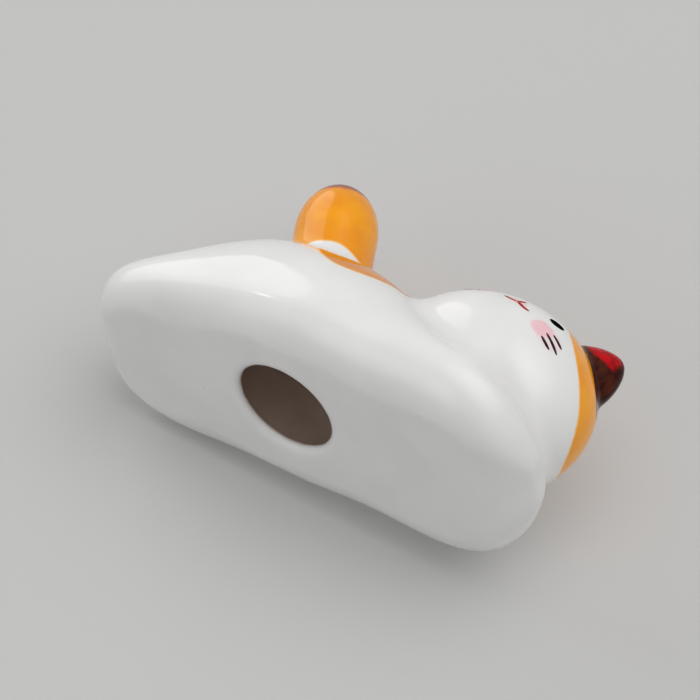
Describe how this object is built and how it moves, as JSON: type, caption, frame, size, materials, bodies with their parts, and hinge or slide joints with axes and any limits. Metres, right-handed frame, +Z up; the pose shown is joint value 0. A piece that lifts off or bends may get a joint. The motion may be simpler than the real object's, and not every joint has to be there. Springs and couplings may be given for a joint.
{
  "type": "chopstick rest",
  "caption": "Glazed ceramic chopstick rest shaped as a lying calico cat, hollow with a vent hole in its flat underside; chopsticks lie across its back.",
  "frame": {"origin": "middle of the whole rest's box, on the plane of its flat underside", "axes": "+Z up from the table, +X along the body to the head, -Y to the side that the face looks to"},
  "size_m": [0.0585, 0.0326, 0.0315],
  "materials": {
    "white_glaze": "clear gloss over white clay",
    "orange_glaze": "brushed orange colour under clear gloss",
    "brown_glaze": "brushed red-brown colour under clear gloss"
  },
  "bodies": {
    "root": {"body": "white_glaze", "head": "white_glaze", "ear_front": "brown_glaze", "ear_rear": "brown_glaze", "tail": "orange_glaze"}
  },
  "joints": []
}
